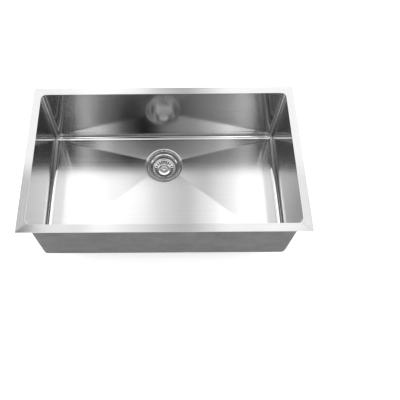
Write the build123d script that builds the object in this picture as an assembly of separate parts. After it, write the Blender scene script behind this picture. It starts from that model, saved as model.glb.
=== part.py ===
from build123d import *
from math import radians, sqrt, tan
import os

# Undermount kitchen sink: a deep single bowl of sheet steel that hangs from a flat welded rim, with
# a basket strainer in its drain. All sizes are in millimetres. The origin is the middle of the
# rim's upper face, +X runs to the right, +Y to the back and +Z up.

# Bowl and rim, measured inside the bowl
BOWL_WIDTH = 764.0
BOWL_LENGTH = 434.0
BOWL_DEPTH = 254.0
BOWL_RADIUS = 15.0
BOWL_SHEET = 1.2
RIM_WIDTH = 24.0
RIM_SHEET = 1.5
RIM_CORNER = 2.0

# Floor: a level border, then four panels that fall to a low point just behind the drain's middle
FLOOR_BORDER = 3.0
FLOOR_DROP = 7.0
LOW_POINT_FROM_BACK = 108.0
DRAIN_FROM_BACK = 115.0
RECESS_DEPTH = 2.0
RECESS_SLOPE = 70.0

# Coat and pads on the outside of the bowl
COAT_THICKNESS = 0.8
COAT_TOP_GAP = 3.0
COAT_DRAIN_MARGIN = 6.0
PAD_THICKNESS = 3.0
PAD_MARGIN = 28.0
PAD_CORNER = 12.0

# Strainer body: depths are counted down from the seat in the drain recess
CUP_RADIUS = 42.4
CUP_DEPTH = 52.0
CUP_TAPER = 5.5
BODY_SHEET = 1.0
BODY_ROUND = 2.2
MOUTH_SLOPE_WIDTH = 4.2
MOUTH_SLOPE_FALL = 1.5
MOUTH_ROUND = 1.6
FLANGE_ROUND = 1.4
LEDGE_DEPTH = 20.0
LEDGE_WIDTH = 6.0
FLANGE_WIDTH = 12.0
FLANGE_FALL = 0.65
FLANGE_LIP_GAP = 0.4
SEAT_MARGIN = 2.0
HOLE_CLEARANCE = 1.6
OUTLET_RADIUS = 19.5
SPIGOT_STEP = 2.0
SPIGOT_WALL = 2.5
SPIGOT_LENGTH = 21.0
CROSS_HEIGHT = 4.0
CROSS_WIDTH = 3.0
CROSS_LIFT = 4.0
CROSS_HUB_RADIUS = 6.0

# Rings and nuts that hold the strainer in the sink
SEAL_THICKNESS = 1.0
SEAL_MARGIN = 2.2
WASHER_THICKNESS = 3.0
WASHER_WIDTH = 11.0
WASHER_CLEARANCE = 0.5
FRICTION_THICKNESS = 1.0
LOCK_NUT_HEIGHT = 9.0
LOCK_NUT_WIDTH = 6.0
LOCK_LUG_COUNT = 8
LOCK_LUG_WIDTH = 10.0
LOCK_LUG_REACH = 5.0
THREAD_CLEARANCE = 0.15

# Coupling nut and washer on the outlet, for a pipe of this radius
PIPE_RADIUS = 19.05
PIPE_CLEARANCE = 0.4
OUTLET_WASHER_THICKNESS = 2.0
OUTLET_WASHER_WIDTH = 4.0
COUPLING_HEIGHT = 16.0
COUPLING_LIP = 3.0
COUPLING_WALL = 3.5

# Basket: a slotted cone round a groove and a raised crown, its rim on the ledge of the strainer body
BASKET_SHEET = 0.8
BASKET_SEAT_GAP = 0.3
BASKET_RIM_LAP = 3.2
BASKET_RIM_LIP = 1.6
BASKET_RIM_INSET = 3.0
BASKET_ROUND = 1.2
CONE_DROP = 5.7
GROOVE_DROP = 3.4
GROOVE_WALL_WIDTH = 1.4
GROOVE_ROUND = 1.0
CROWN_RADIUS = 21.0
CROWN_SLOPE_WIDTH = 6.0
CROWN_RISE = 1.8
CROWN_ROUND = 3.0
SLOT_COUNT = 21
SLOT_WIDTH = 4.2
SLOT_MARGIN = 1.2

# Guide bush in the basket, with its clip and rubber grip ring
STEM_RADIUS = 3.0
STEM_RUNNING_GAP = 0.06
BUSH_WALL = 2.2
BUSH_FIT_GAP = 0.08
BUSH_FLANGE_WIDTH = 2.3
BUSH_FLANGE_HEIGHT = 1.2
BUSH_TAIL = 9.5
CLIP_THICKNESS = 0.8
CLIP_WIDTH = 2.8
GRIP_SECTION = 1.1
GROOVE_CLEARANCE = 0.06

# Knob and stopper on the stem
KNOB_OVERHANG = 1.8
KNOB_HEIGHT = 6.5
KNOB_CAP_HEIGHT = 3.6
KNOB_CROWN = 1.2
KNOB_WAIST_WALL = 1.5
KNOB_SOCKET_DEPTH = 4.5
KNOB_REST_GAP = 0.4
KNOB_ROUND = 1.2
STOPPER_LAP = 4.5
STOPPER_THICKNESS = 3.0
STOPPER_SEAT_GAP = 0.3
STOPPER_ROUND = 0.8
PLATE_THICKNESS = 1.0
PLATE_INSET = 2.0
COLLAR_HEIGHT = 1.5
COLLAR_WIDTH = 2.2
STUD_RADIUS = 2.5
STUD_END = 1.0
CLAMP_WASHER_THICKNESS = 1.0
CLAMP_WASHER_INSET = 5.5
STEM_NUT_WALL = 1.9
STEM_NUT_HEIGHT = 4.5

# Heights that several pieces share, above or below the seat where the strainer's flange lies
seat_z = -(BOWL_DEPTH + FLOOR_DROP + RECESS_DEPTH)
flange_inner_top = SEAL_THICKNESS + BODY_SHEET
flange_outer_top = flange_inner_top + FLANGE_FALL
mouth_top = flange_inner_top - MOUTH_SLOPE_FALL
washer_top = -BOWL_SHEET
friction_top = washer_top - WASHER_THICKNESS
lock_nut_top = friction_top - FRICTION_THICKNESS
spigot_end = -(CUP_DEPTH + BODY_SHEET + SPIGOT_LENGTH)
basket_rim_top = -LEDGE_DEPTH + BASKET_SEAT_GAP + BASKET_SHEET
cone_foot = basket_rim_top - CONE_DROP
groove_floor = cone_foot - GROOVE_DROP
crown_top = groove_floor + CROWN_RISE
bush_top = crown_top + BUSH_FLANGE_HEIGHT
bush_bottom = crown_top - BASKET_SHEET - BUSH_TAIL
groove_middle = (bush_top + bush_bottom) / 2
knob_bottom = bush_top + KNOB_REST_GAP
stopper_bottom = -CUP_DEPTH + STOPPER_SEAT_GAP
stopper_top = stopper_bottom + STOPPER_THICKNESS
plate_top = stopper_top + PLATE_THICKNESS
clamp_bottom = stopper_bottom - CLAMP_WASHER_THICKNESS
stem_nut_bottom = clamp_bottom - STEM_NUT_HEIGHT

# Radii that several pieces share, about the drain's axis
cup_outer = CUP_RADIUS + BODY_SHEET
drain_hole = cup_outer + HOLE_CLEARANCE
flange_radius = drain_hole + FLANGE_WIDTH
mouth_slope_radius = CUP_RADIUS + MOUTH_SLOPE_WIDTH
seat_radius = flange_radius + SEAT_MARGIN
lower_cup_radius = CUP_RADIUS - LEDGE_WIDTH
cup_floor_radius = lower_cup_radius - CUP_TAPER
basket_rim_radius = lower_cup_radius + BASKET_RIM_LAP
cone_top_radius = lower_cup_radius - BASKET_RIM_INSET
cone_foot_radius = CROWN_RADIUS + GROOVE_WALL_WIDTH
spigot_bore = OUTLET_RADIUS + SPIGOT_STEP
spigot_radius = spigot_bore + SPIGOT_WALL
stopper_radius = OUTLET_RADIUS + STOPPER_LAP
bush_radius = STEM_RADIUS + BUSH_WALL
bush_hole = bush_radius + BUSH_FIT_GAP
recess_rise = FLOOR_DROP + RECESS_DEPTH
recess_edge_radius = seat_radius + recess_rise / tan(radians(RECESS_SLOPE))
coat_hole = recess_edge_radius + COAT_DRAIN_MARGIN

# Corners of the sloping floor panels in plan, in order round the floor
panel_inset = BOWL_RADIUS + FLOOR_BORDER
panel_x = BOWL_WIDTH / 2 - panel_inset
panel_y = BOWL_LENGTH / 2 - panel_inset
FRONT_LEFT = (-panel_x, -panel_y)
FRONT_RIGHT = (panel_x, -panel_y)
BACK_RIGHT = (panel_x, panel_y)
BACK_LEFT = (-panel_x, panel_y)
DRAIN = (0, BOWL_LENGTH / 2 - DRAIN_FROM_BACK)
LOW_POINT = (0, BOWL_LENGTH / 2 - LOW_POINT_FROM_BACK)

drain_axis = Pos(*DRAIN, seat_z)


def turned(*corners):
    """Solid turned about the drain's axis from corners (radius, height) or (radius, height, rounding)."""
    face = make_face(Polyline(*[corner[:2] for corner in corners], close=True))
    for corner in corners:
        if len(corner) == 3:
            vertex = face.vertices().sort_by_distance((corner[0], corner[1]))[0]
            face = fillet(vertex, corner[2])
    return drain_axis * revolve(Plane.XZ * face, Axis.Z)


def ring(inner, outer, bottom, top):
    """Plain flat ring about the drain's axis."""
    return turned((inner, bottom), (outer, bottom), (outer, top), (inner, top))


def pressed(sheet, *corners):
    """Sheet pressed about the drain's axis; its upper side follows corners as in turned()."""
    points = [corner[:2] for corner in corners]
    roundings = [corner[2] for corner in corners[1:-1]]
    upper_side = FilletPolyline(*points, radius=roundings)
    section = make_face(offset(upper_side, sheet, side=Side.LEFT))
    return drain_axis * revolve(Plane.XZ * section, Axis.Z)


def floor_panels():
    """Shallow upside-down pyramid below the level of the floor's border."""
    base = [Vector(x, y, -BOWL_DEPTH) for x, y in (FRONT_LEFT, FRONT_RIGHT, BACK_RIGHT, BACK_LEFT)]
    tip = Vector(*LOW_POINT, -BOWL_DEPTH - FLOOR_DROP)
    sides = [Face(Wire.make_polygon([a, b, tip])) for a, b in zip(base, base[1:] + base[:1])]
    return Solid(Shell([Face(Wire.make_polygon(base)), *sides]))


def bowl_block(grown):
    """Solid that fills the bowl, grown outwards by a thickness on every side but its open top."""
    depth = BOWL_DEPTH + grown
    block = Pos(0, 0, -depth / 2) * Box(BOWL_WIDTH + 2 * grown, BOWL_LENGTH + 2 * grown, depth)
    top_edges = block.faces().sort_by(Axis.Z)[-1].edges()
    block = fillet(block.edges() - top_edges, BOWL_RADIUS + grown)
    return block + Pos(0, 0, -grown) * floor_panels()


def recess_block(grown):
    """Cone that fills the drain recess up to the level of the floor's border, grown by a thickness."""
    corner = seat_radius + grown * tan(radians(RECESS_SLOPE / 2))
    edge = corner + (recess_rise + grown) / tan(radians(RECESS_SLOPE))
    return turned((0, -grown), (corner, -grown), (edge, recess_rise), (0, recess_rise))


def make_bowl():
    """Bowl of one thickness of sheet, with the recess and the hole for the strainer."""
    hole = ring(0, drain_hole, -recess_rise, recess_rise)
    return bowl_block(BOWL_SHEET) + recess_block(BOWL_SHEET) - bowl_block(0) - recess_block(0) - hole


def make_rim_frame():
    """Flat frame with square corners, welded flush round the top edge of the bowl."""
    outline = Rectangle(BOWL_WIDTH + 2 * RIM_WIDTH, BOWL_LENGTH + 2 * RIM_WIDTH)
    outline = fillet(outline.vertices(), RIM_CORNER)
    opening = RectangleRounded(
        BOWL_WIDTH + 2 * BOWL_SHEET, BOWL_LENGTH + 2 * BOWL_SHEET, BOWL_RADIUS + BOWL_SHEET
    )
    return extrude(outline - opening, -RIM_SHEET)


def make_sound_coat():
    """Sprayed coat on the outside of the bowl, clear of the rim and of the drain."""
    coat = bowl_block(BOWL_SHEET + COAT_THICKNESS) - bowl_block(BOWL_SHEET)
    bare_top = RIM_SHEET + COAT_TOP_GAP
    bare_band = Pos(0, 0, -bare_top / 2) * Box(BOWL_WIDTH * 2, BOWL_LENGTH * 2, bare_top)
    return coat - bare_band - ring(0, coat_hole, -recess_rise, recess_rise + BOWL_RADIUS)


def make_sound_pad(first, second):
    """Rubber pad under one floor panel, set in from the panel's creases and from the drain."""
    panel = make_face(Polyline(first, second, LOW_POINT, close=True))
    outline = offset(panel, -PAD_MARGIN, kind=Kind.INTERSECTION)
    outline -= Pos(*DRAIN) * Circle(coat_hole + PAD_MARGIN)
    outline = fillet(outline.vertices(), PAD_CORNER)
    column = Pos(0, 0, seat_z * 2) * extrude(outline, -seat_z * 2)
    coat_side = Pos(0, 0, -(BOWL_SHEET + COAT_THICKNESS)) * floor_panels()
    return (Pos(0, 0, -PAD_THICKNESS) * coat_side - coat_side) & column


def flange_underside(radius):
    """Height of the underside of the strainer's dished flange."""
    fall = FLANGE_FALL / (flange_radius - mouth_slope_radius)
    return flange_inner_top + fall * (radius - mouth_slope_radius) - BODY_SHEET * sqrt(1 + fall ** 2)


def make_strainer_body():
    """Flanged cup with a ledge for the basket, and a threaded outlet with a cross in it."""
    cup = pressed(
        BODY_SHEET,
        (flange_radius, FLANGE_LIP_GAP),
        (flange_radius, flange_outer_top, FLANGE_ROUND),
        (mouth_slope_radius, flange_inner_top, BODY_ROUND),
        (CUP_RADIUS, mouth_top, MOUTH_ROUND),
        (CUP_RADIUS, -LEDGE_DEPTH, BODY_ROUND),
        (lower_cup_radius, -LEDGE_DEPTH, BODY_ROUND),
        (cup_floor_radius, -CUP_DEPTH, BODY_ROUND),
        (OUTLET_RADIUS, -CUP_DEPTH),
    )
    spigot = ring(spigot_bore, spigot_radius, spigot_end, -CUP_DEPTH - BODY_SHEET / 2)
    cross_bottom = spigot_end + CROSS_LIFT
    hub = ring(0, CROSS_HUB_RADIUS, cross_bottom, cross_bottom + CROSS_HEIGHT)
    arm_length = 2 * spigot_bore + SPIGOT_WALL
    arm = drain_axis * Pos(0, 0, cross_bottom + CROSS_HEIGHT / 2)
    across = arm * Box(arm_length, CROSS_WIDTH, CROSS_HEIGHT)
    along = arm * Box(CROSS_WIDTH, arm_length, CROSS_HEIGHT)
    return cup + spigot + hub + across + along


def make_flange_seal():
    """Sealing ring that fills the space between the recess and the dished flange."""
    inner = drain_hole + SEAL_MARGIN
    outer = flange_radius - BODY_SHEET - SEAL_MARGIN
    return turned((inner, 0), (outer, 0), (outer, flange_underside(outer)), (inner, flange_underside(inner)))


def make_rubber_washer():
    """Rubber washer pressed up against the underside of the recess."""
    inner = cup_outer + WASHER_CLEARANCE
    return ring(inner, inner + WASHER_WIDTH, friction_top, washer_top)


def make_friction_ring():
    """Fibre ring between the rubber washer and the lock nut."""
    inner = cup_outer + WASHER_CLEARANCE
    return ring(inner, inner + WASHER_WIDTH, lock_nut_top, friction_top)


def make_lock_nut():
    """Ring nut on the outside of the cup, with lugs for a spanner."""
    bore = cup_outer + THREAD_CLEARANCE
    outer = bore + LOCK_NUT_WIDTH
    bottom = lock_nut_top - LOCK_NUT_HEIGHT
    nut = ring(bore, outer, bottom, lock_nut_top)
    lug = Box(LOCK_LUG_REACH + LOCK_NUT_WIDTH / 2, LOCK_LUG_WIDTH, LOCK_NUT_HEIGHT)
    lug = fillet(lug.edges().filter_by(Axis.Z).group_by(Axis.X)[-1], LOCK_LUG_REACH / 2)
    lug_radius = outer + (LOCK_LUG_REACH - LOCK_NUT_WIDTH / 2) / 2
    lug_height = lock_nut_top - LOCK_NUT_HEIGHT / 2
    return nut + drain_axis * Pos(0, 0, lug_height) * PolarLocations(lug_radius, LOCK_LUG_COUNT) * lug


def make_outlet_washer():
    """Flat washer on the end of the outlet."""
    bore = spigot_radius - OUTLET_WASHER_WIDTH
    return ring(bore, spigot_radius, spigot_end - OUTLET_WASHER_THICKNESS, spigot_end)


def make_coupling_nut():
    """Hexagon nut on the outlet, with a lip below that takes a flanged pipe."""
    lip_top = spigot_end - OUTLET_WASHER_THICKNESS
    bottom = lip_top - COUPLING_LIP
    top = bottom + COUPLING_HEIGHT
    thread = spigot_radius + THREAD_CLEARANCE
    hexagon = RegularPolygon(thread + COUPLING_WALL, 6, major_radius=False)
    nut = drain_axis * Pos(0, 0, bottom) * extrude(hexagon, COUPLING_HEIGHT)
    return nut - ring(0, thread, lip_top, top) - ring(0, PIPE_RADIUS + PIPE_CLEARANCE, bottom, top)


def make_basket_cup():
    """Pressed basket: rim with an upturned lip, slotted cone, groove, raised crown with a hole for the bush."""
    basket = pressed(
        BASKET_SHEET,
        (basket_rim_radius, basket_rim_top + BASKET_RIM_LIP),
        (basket_rim_radius, basket_rim_top, BASKET_ROUND),
        (cone_top_radius, basket_rim_top, BASKET_ROUND),
        (cone_foot_radius, cone_foot, BASKET_ROUND),
        (CROWN_RADIUS, groove_floor, GROOVE_ROUND),
        (CROWN_RADIUS - CROWN_SLOPE_WIDTH, crown_top, CROWN_ROUND),
        (bush_hole, crown_top),
    )
    slot_start = cone_foot_radius + SLOT_MARGIN
    slot_end = cone_top_radius - SLOT_MARGIN
    slot = SlotOverall(slot_end - slot_start, SLOT_WIDTH)
    slots = PolarLocations((slot_start + slot_end) / 2, SLOT_COUNT, start_angle=90) * slot
    cutter_bottom = cone_foot - 2 * BASKET_SHEET
    cutter = extrude(Sketch() + slots, basket_rim_top - cutter_bottom)
    return basket - drain_axis * Pos(0, 0, cutter_bottom) * cutter


def make_guide_bush():
    """Flanged bush in the basket's crown, bored for the stem, with a groove for the grip ring."""
    bore = STEM_RADIUS + STEM_RUNNING_GAP
    bush = turned(
        (bore, bush_bottom),
        (bush_radius, bush_bottom),
        (bush_radius, crown_top),
        (bush_radius + BUSH_FLANGE_WIDTH, crown_top),
        (bush_radius + BUSH_FLANGE_WIDTH, bush_top),
        (bore, bush_top),
    )
    reach = GRIP_SECTION / 2 + GROOVE_CLEARANCE
    groove_radius = bore + GRIP_SECTION + GROOVE_CLEARANCE
    return bush - ring(0, groove_radius, groove_middle - reach, groove_middle + reach)


def make_grip_ring():
    """Rubber ring in the bush's groove that holds the stem where it is put."""
    ring_radius = STEM_RADIUS + STEM_RUNNING_GAP + GRIP_SECTION / 2
    return drain_axis * Pos(0, 0, groove_middle) * Torus(ring_radius, GRIP_SECTION / 2)


def make_bush_clip():
    """Flat clip on the bush's tail, under the crown."""
    top = crown_top - BASKET_SHEET
    return ring(bush_hole, bush_hole + CLIP_WIDTH, top - CLIP_THICKNESS, top)


def make_knob():
    """Mushroom knob with a crowned top and a blind socket for the stem."""
    waist = STEM_RADIUS + KNOB_WAIST_WALL
    cap_radius = waist + KNOB_OVERHANG
    top = knob_bottom + KNOB_HEIGHT
    cap_bottom = top - KNOB_CAP_HEIGHT
    knob = turned(
        (0, knob_bottom),
        (waist, knob_bottom),
        (waist, cap_bottom),
        (cap_radius, cap_bottom + KNOB_OVERHANG / 2),
        (cap_radius, top - KNOB_CROWN, KNOB_ROUND),
        (0, top),
    )
    return knob - ring(0, STEM_RADIUS, knob_bottom, knob_bottom + KNOB_SOCKET_DEPTH)


def make_stem():
    """Stem from the knob to the stopper, with a collar above the plate and a stud below it."""
    return turned(
        (0, stem_nut_bottom - STUD_END),
        (STUD_RADIUS, stem_nut_bottom - STUD_END),
        (STUD_RADIUS, plate_top),
        (STEM_RADIUS + COLLAR_WIDTH, plate_top),
        (STEM_RADIUS + COLLAR_WIDTH, plate_top + COLLAR_HEIGHT),
        (STEM_RADIUS, plate_top + COLLAR_HEIGHT),
        (STEM_RADIUS, knob_bottom + KNOB_SOCKET_DEPTH),
        (0, knob_bottom + KNOB_SOCKET_DEPTH),
    )


def make_stopper_plate():
    """Steel plate that stiffens the rubber from above."""
    hole = STUD_RADIUS + THREAD_CLEARANCE
    return ring(hole, stopper_radius - PLATE_INSET, stopper_top, plate_top)


def make_stopper_seal():
    """Rubber disc that lies over the outlet and shuts it."""
    hole = STUD_RADIUS + THREAD_CLEARANCE
    return turned(
        (hole, stopper_bottom),
        (stopper_radius, stopper_bottom, STOPPER_ROUND),
        (stopper_radius, stopper_top, STOPPER_ROUND),
        (hole, stopper_top),
    )


def make_clamp_washer():
    """Washer under the rubber, inside the outlet."""
    hole = STUD_RADIUS + THREAD_CLEARANCE
    return ring(hole, OUTLET_RADIUS - CLAMP_WASHER_INSET, clamp_bottom, stopper_bottom)


def make_stem_nut():
    """Hexagon nut on the stud below the washer."""
    hole = STUD_RADIUS + THREAD_CLEARANCE
    hexagon = RegularPolygon(hole + STEM_NUT_WALL, 6, major_radius=False) - Circle(hole)
    return drain_axis * Pos(0, 0, stem_nut_bottom) * extrude(hexagon, STEM_NUT_HEIGHT)


pieces = {
    "bowl": make_bowl(),
    "rim_frame": make_rim_frame(),
    "sound_coat": make_sound_coat(),
    "sound_pad_front": make_sound_pad(FRONT_LEFT, FRONT_RIGHT),
    "sound_pad_left": make_sound_pad(BACK_LEFT, FRONT_LEFT),
    "sound_pad_right": make_sound_pad(FRONT_RIGHT, BACK_RIGHT),
    "strainer_body": make_strainer_body(),
    "flange_seal": make_flange_seal(),
    "rubber_washer": make_rubber_washer(),
    "friction_ring": make_friction_ring(),
    "lock_nut": make_lock_nut(),
    "outlet_washer": make_outlet_washer(),
    "coupling_nut": make_coupling_nut(),
    "basket_cup": make_basket_cup(),
    "guide_bush": make_guide_bush(),
    "grip_ring": make_grip_ring(),
    "bush_clip": make_bush_clip(),
    "knob": make_knob(),
    "stem": make_stem(),
    "stopper_plate": make_stopper_plate(),
    "stopper_seal": make_stopper_seal(),
    "clamp_washer": make_clamp_washer(),
    "stem_nut": make_stem_nut(),
}

os.makedirs("parts", exist_ok=True)
for name, piece in pieces.items():
    export_step(piece, f"parts/{name}.step")
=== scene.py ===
import bmesh
import bpy
from collections import namedtuple
from math import asin, atan2, cos, hypot, pi, radians, sin, sqrt, tan
from mathutils import Matrix, Vector


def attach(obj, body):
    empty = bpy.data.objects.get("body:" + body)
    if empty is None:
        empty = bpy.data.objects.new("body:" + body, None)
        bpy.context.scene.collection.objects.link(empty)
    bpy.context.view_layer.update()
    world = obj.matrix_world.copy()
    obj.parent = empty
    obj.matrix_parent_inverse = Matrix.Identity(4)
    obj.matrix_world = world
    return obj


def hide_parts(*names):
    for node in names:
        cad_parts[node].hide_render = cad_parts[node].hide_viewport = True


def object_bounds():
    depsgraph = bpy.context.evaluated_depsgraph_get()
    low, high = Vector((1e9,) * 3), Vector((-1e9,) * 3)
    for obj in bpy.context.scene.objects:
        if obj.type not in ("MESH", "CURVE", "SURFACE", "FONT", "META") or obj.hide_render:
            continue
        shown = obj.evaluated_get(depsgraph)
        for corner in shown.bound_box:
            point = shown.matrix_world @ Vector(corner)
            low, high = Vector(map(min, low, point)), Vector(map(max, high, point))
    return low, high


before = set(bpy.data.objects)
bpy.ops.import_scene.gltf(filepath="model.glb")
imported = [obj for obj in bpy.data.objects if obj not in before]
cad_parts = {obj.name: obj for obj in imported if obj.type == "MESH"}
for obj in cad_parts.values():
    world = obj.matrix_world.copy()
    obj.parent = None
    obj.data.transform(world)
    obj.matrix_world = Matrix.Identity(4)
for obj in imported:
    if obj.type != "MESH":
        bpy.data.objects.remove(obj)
cad_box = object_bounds()


# Bowl: a deep box of 1.2 mm stainless sheet, bent and welded, with rounded bends between its walls
# and floor. The floor is creased from the corners to a low point at the drain, and a stamped recess
# takes the strainer. The inside is brushed lengthwise, and the top edge is ground flush with the rim.
MM = 0.001
BOWL_WIDTH = 764.0
BOWL_LENGTH = 434.0
BOWL_DEPTH = 254.0
BOWL_RADIUS = 15.0
BOWL_SHEET = 1.2
TOP_EDGE_ROUND = 0.6
FLOOR_BORDER = 3.0
FLOOR_DROP = 7.0
CREASE_HALF_WIDTH = 2.2
LOW_POINT = Vector((0.0, 109.0))
DRAIN = Vector((0.0, 102.0))
DRAIN_HOLE = 45.0
RECESS_DEPTH = 2.0
RECESS_SLOPE = radians(70.0)
RECESS_ROUND_OUT = 3.6
RECESS_ROUND_IN = 2.6
SEAT_RADIUS = 59.0
SEAT_ROUND = 1.2
seat_z = -(BOWL_DEPTH + FLOOR_DROP + RECESS_DEPTH)
panel_inset = BOWL_RADIUS + FLOOR_BORDER
anchor_size = Vector((BOWL_WIDTH / 2 - BOWL_RADIUS, BOWL_LENGTH / 2 - BOWL_RADIUS))
panel_size = Vector((BOWL_WIDTH / 2 - panel_inset, BOWL_LENGTH / 2 - panel_inset))

# Spacing of the mesh: support rings lie close to a bend or an edge and keep its shading clean
CORNER_STEPS = 8
TOP_EDGE_STEPS = 3
ROUND_STEPS = 4
SEAT_STEPS = 2
FAN_STEP = radians(3.0)
FEWEST_FANS = 4
CREASE_SUPPORT = 1.6
TOP_EDGE_SUPPORT = 0.2
BEND_SUPPORT = 1.0
BORDER_SUPPORT = 0.8
SEAT_SUPPORT = 6.0
HOLE_SUPPORT = 1.0
WALL_HEIGHTS = (-60.0, -120.0, -180.0)
FLOOR_SHARES = (0.0, 0.006, 0.015, 0.05, 0.12, 0.25, 0.4, 0.55, 0.7, 0.85, 0.94, 0.985)
UNDERSIDE_SHARES = (0.0, 0.006, 0.05, 0.25, 0.5, 0.75, 0.94)
SAME_POINT = 1e-6
NO_SIZE = 1e-7

# Degrees between two faces from which the edge between them is drawn sharp
SHARP_FROM = 35.0
SHEET_SHARP_FROM = 50.0

# A station is one line of points that runs down the wall and over the floor to the drain
Station = namedtuple("Station", "anchor out corner bearing slope lift")
SIDES = (Vector((0, -1)), Vector((1, 0)), Vector((0, 1)), Vector((-1, 0)))


def turn_left(direction):
    """Direction turned a quarter turn to the left."""
    return Vector((-direction.y, direction.x))


def along_box(half_size, direction):
    """Half size of a box in the direction of one of its sides."""
    return half_size.x if direction.x else half_size.y


def box_corner(half_size, corner):
    """Place of the corner of a box that lies in a diagonal direction."""
    return Vector((corner.x * half_size.x, corner.y * half_size.y))


def panel_slope(side):
    """Rise of the floor panel at one side, away from the low point."""
    return side * FLOOR_DROP / (along_box(panel_size, side) - LOW_POINT.dot(side))


def crease_bearing(end):
    """Bearing from the drain to the place where the crease from this end reaches the recess."""
    heading = (LOW_POINT - end).normalized()
    nearest = end + heading * (DRAIN - end).dot(heading)
    aside = (nearest - DRAIN).length
    meets = nearest - heading * sqrt(SEAT_RADIUS ** 2 - aside ** 2) - DRAIN
    return atan2(meets.y, meets.x)


def corner_stations(before, side):
    """Stations round the corner between two sides, all on the crease that ends there."""
    corner = side + before
    crease_end = box_corner(panel_size, corner)
    across = turn_left((crease_end - LOW_POINT).normalized())
    # The crease is rounded, so it lies a little above the line where the two panels would meet
    lift = CREASE_HALF_WIDTH / 4 * (panel_slope(side).dot(across) - panel_slope(before).dot(across))
    anchor = box_corner(anchor_size, corner)
    bearing = crease_bearing(crease_end)
    made = []
    for step in range(CORNER_STEPS + 1):
        angle = step / CORNER_STEPS * pi / 2
        out = before * cos(angle) + side * sin(angle)
        made.append(Station(anchor, out, corner, bearing, panel_slope(side), lift))
    return made


def side_stations(before, side):
    """Stations along one wall, fanned out from the drain, with a pair beside each crease."""
    onward = turn_left(side)
    crease_end = box_corner(panel_size, side + before)
    next_end = box_corner(panel_size, side + onward)
    crease = crease_bearing(crease_end)
    sweep = (crease_bearing(next_end) - crease) % (2 * pi)
    crease_lean = abs((crease_end - LOW_POINT).normalized().dot(side))
    next_lean = abs((next_end - LOW_POINT).normalized().dot(side))
    half = along_box(panel_size, onward)
    starts, ends = [], []
    for width in (CREASE_HALF_WIDTH, CREASE_HALF_WIDTH + CREASE_SUPPORT):
        turn = asin(width / SEAT_RADIUS)
        starts.append((-half + width / crease_lean, turn))
        ends.append((half - width / next_lean, sweep - turn))

    (first_at, first_turn), (last_at, last_turn) = starts[-1], ends[-1]
    reach = along_box(panel_size, side) - DRAIN.dot(side)
    offset = DRAIN.dot(onward)
    first_angle = atan2(first_at - offset, reach)
    last_angle = atan2(last_at - offset, reach)
    count = max(FEWEST_FANS, round(sweep / FAN_STEP))
    places = list(starts)
    for step in range(1, count):
        share = step / count
        at = offset + reach * tan(first_angle + (last_angle - first_angle) * share)
        places.append((at, first_turn + (last_turn - first_turn) * share))
    places += reversed(ends)
    wall = side * along_box(anchor_size, side)
    slope = panel_slope(side)
    return [Station(wall + onward * at, side, side, crease + turn, slope, 0.0) for at, turn in places]


stations = []
for previous_side, this_side in zip(SIDES[-1:] + SIDES[:-1], SIDES):
    stations += corner_stations(previous_side, this_side)
    stations += side_stations(previous_side, this_side)


def outline_point(station, grown, z):
    """Point on the bowl's outline, grown outwards by a distance, at a height."""
    radius = BOWL_RADIUS + grown
    plan = station.anchor + station.out * max(radius, 0.0) + station.corner * min(radius, 0.0)
    return Vector((plan.x, plan.y, z))


def outline_ring(grown, z):
    """Ring of points all round the bowl's outline."""
    return [outline_point(station, grown, z) for station in stations]


def wall_rings(grown, heights):
    """Rings down the wall at these heights, then round the bend to the floor's border."""
    radius = BOWL_RADIUS + grown
    bottom = -BOWL_DEPTH - grown
    rings = [outline_ring(grown, z) for z in (*heights, bottom + radius + BEND_SUPPORT)]
    for step in range(CORNER_STEPS + 1):
        angle = step / CORNER_STEPS * pi / 2
        rings.append(outline_ring(grown - radius * (1 - cos(angle)), bottom + radius * (1 - sin(angle))))
    rings.append(outline_ring(-BOWL_RADIUS - BORDER_SUPPORT, bottom))
    return rings


def floor_line(station, grown, end_radius):
    """Ends of a station's line over the floor, from the border to a circle round the drain."""
    start = outline_point(station, -panel_inset, 0).xy
    heading = Vector((cos(station.bearing), sin(station.bearing)))
    ends = []
    for plan in (start, DRAIN + heading * end_radius):
        height = -BOWL_DEPTH - FLOOR_DROP - grown + station.slope.dot(plan - LOW_POINT) + station.lift
        ends.append(Vector((plan.x, plan.y, height)))
    return ends, heading


def recess_edge_radius(station, grown):
    """Radius about the drain where the floor meets the sloping side of the recess."""
    heading = Vector((cos(station.bearing), sin(station.bearing)))
    seat_corner = SEAT_RADIUS + grown * tan(RECESS_SLOPE / 2)
    rise = RECESS_DEPTH + station.slope.dot(DRAIN - LOW_POINT)
    return (rise + seat_corner * tan(RECESS_SLOPE)) / (tan(RECESS_SLOPE) - station.slope.dot(heading))


def eased(start, corner, end, steps=ROUND_STEPS):
    """Points on a smooth curve that leaves the line at start, heads for the corner and joins at end."""
    points = []
    for step in range(steps + 1):
        u = step / steps
        points.append(start * (1 - u) ** 2 + corner * 2 * u * (1 - u) + end * u ** 2)
    return points


def floor_rings(grown, shares):
    """Rings over the floor, round the edge of the recess and over its seat to the drain hole."""
    seat_corner = SEAT_RADIUS + grown * tan(RECESS_SLOPE / 2)
    middle = Vector((*DRAIN, seat_z - grown))
    lines = []
    for station in stations:
        (start, edge), heading = floor_line(station, grown, recess_edge_radius(station, grown))
        outwards = heading.to_3d()
        down = -outwards * cos(RECESS_SLOPE) - Vector((0, 0, 1)) * sin(RECESS_SLOPE)
        leave = edge + (start - edge).normalized() * RECESS_ROUND_OUT
        seat = middle + outwards * seat_corner
        line = [start.lerp(leave, share) for share in shares]
        line += eased(leave, edge, edge + down * RECESS_ROUND_IN)
        line += eased(seat - down * SEAT_ROUND, seat, seat - outwards * SEAT_ROUND, SEAT_STEPS)
        for radius in (SEAT_RADIUS - SEAT_SUPPORT, DRAIN_HOLE + HOLE_SUPPORT, DRAIN_HOLE):
            line.append(middle + outwards * radius)
        lines.append(line)
    return list(zip(*lines))


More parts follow.
